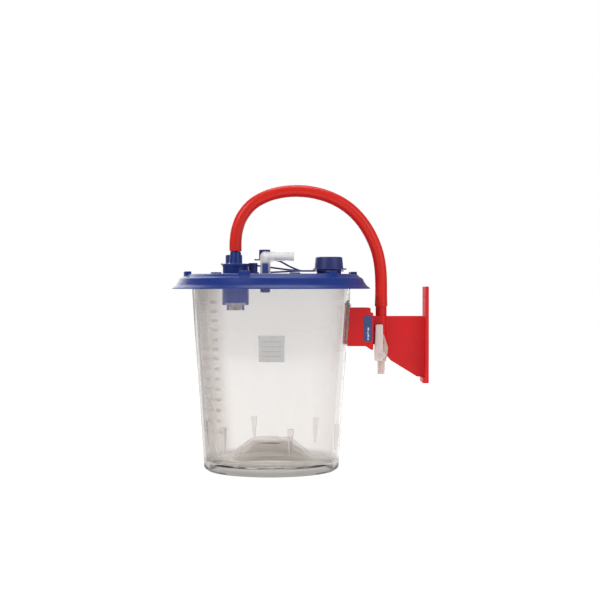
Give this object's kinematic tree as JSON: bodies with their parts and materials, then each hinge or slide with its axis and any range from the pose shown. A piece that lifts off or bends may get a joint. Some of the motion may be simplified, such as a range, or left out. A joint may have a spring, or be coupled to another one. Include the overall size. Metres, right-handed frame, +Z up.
{
  "type": "suction collection canister",
  "caption": "Clear tapered suction canister with liner lid, ports and tethered caps, red vacuum hose and a wall bracket with an on/off valve.",
  "frame": {"origin": "centre of the canister's foot ring, on the surface that it stands on", "axes": "+Z up along the canister's axis, +X out of the wall plate's back towards the wall, -Y towards the front label and the valve lever"},
  "size_m": [0.2699, 0.2092, 0.3001],
  "materials": {
    "canister_clear": "clear moulded polycarbonate, glossy",
    "liner_film": "clear soft film",
    "label_grey": "matt printed label",
    "lid_blue": "satin moulded polyethylene",
    "cap_blue": "satin soft plastic",
    "housing_blue_clear": "translucent blue plastic",
    "elbow_clear": "milky translucent plastic",
    "valve_clear": "milky translucent plastic",
    "white_plastic": "satin white plastic",
    "filter_white": "pressed hydrophobic fibre",
    "bracket_red": "satin moulded plastic",
    "hose_red": "smooth flexible tube",
    "label_blue": "printed vinyl label",
    "seal_rubber": "moulded rubber",
    "steel": "zinc plated"
  },
  "bodies": {
    "canister": {"canister": "canister_clear", "front_label": "label_grey"},
    "lid": {"lid": "lid_blue", "lid_gasket": "seal_rubber", "liner": "liner_film", "filter_housing": "housing_blue_clear", "filter_disc": "filter_white", "vacuum_nozzle": "lid_blue", "tether_ring": "cap_blue", "strap_tall": "cap_blue", "strap_wide": "cap_blue", "strap_small": "cap_blue"},
    "float": {"float": "white_plastic"},
    "pour_cap": {"pour_cap": "cap_blue"},
    "tall_cap": {"tall_cap": "cap_blue"},
    "wide_cap": {"wide_cap": "cap_blue"},
    "small_cap": {"small_cap": "cap_blue"},
    "elbow": {"elbow": "elbow_clear"},
    "hose": {"hose": "hose_red"},
    "bracket": {"receiver": "bracket_red", "receiver_screws": "steel", "port_seal": "seal_rubber", "bracket_label": "label_blue", "bracket_arm": "bracket_red", "hose_barb": "bracket_red", "valve_body": "valve_clear"},
    "lever": {"valve_plug": "white_plastic", "plug_seals": "seal_rubber", "plug_clip": "steel", "valve_lever": "white_plastic", "lever_screw": "steel"}
  },
  "joints": [
    {"name": "lid_lift", "type": "slide", "parent": "canister", "child": "lid", "axis": [0, 0, 1], "range_m": [0, 0.19]},
    {"name": "float_rise", "type": "slide", "parent": "lid", "child": "float", "axis": [0, 0, 1], "range_m": [0, 0.005]},
    {"name": "pour_cap_pull", "type": "slide", "parent": "lid", "child": "pour_cap", "axis": [0, 0, 1], "range_m": [0, 0.016]},
    {"name": "tall_cap_pull", "type": "slide", "parent": "lid", "child": "tall_cap", "axis": [0, 0, 1], "range_m": [0, 0.012], "deforming": ["strap_tall"]},
    {"name": "wide_cap_pull", "type": "slide", "parent": "lid", "child": "wide_cap", "axis": [0, 0, 1], "range_m": [0, 0.012], "deforming": ["strap_wide"]},
    {"name": "small_cap_pull", "type": "slide", "parent": "lid", "child": "small_cap", "axis": [0, 0, 1], "range_m": [0, 0.012], "deforming": ["strap_small"]},
    {"name": "elbow_swivel", "type": "hinge", "parent": "lid", "child": "elbow", "pos_m": [-0.0058, -0.026, 0.215], "axis": [0, 0, 1], "range_deg": [-120, 45]},
    {"name": "hose_pull", "type": "slide", "parent": "lid", "child": "hose", "axis": [0, 0, 1], "range_m": [0, 0.02]},
    {"name": "bracket_slide", "type": "slide", "parent": "canister", "child": "bracket", "axis": [0, 0, -1], "range_m": [0, 0.045]},
    {"name": "lever_turn", "type": "hinge", "parent": "bracket", "child": "lever", "pos_m": [0.11631, 0, 0.1215], "axis": [0, 1, 0], "range_deg": [0, 90]}
  ]
}
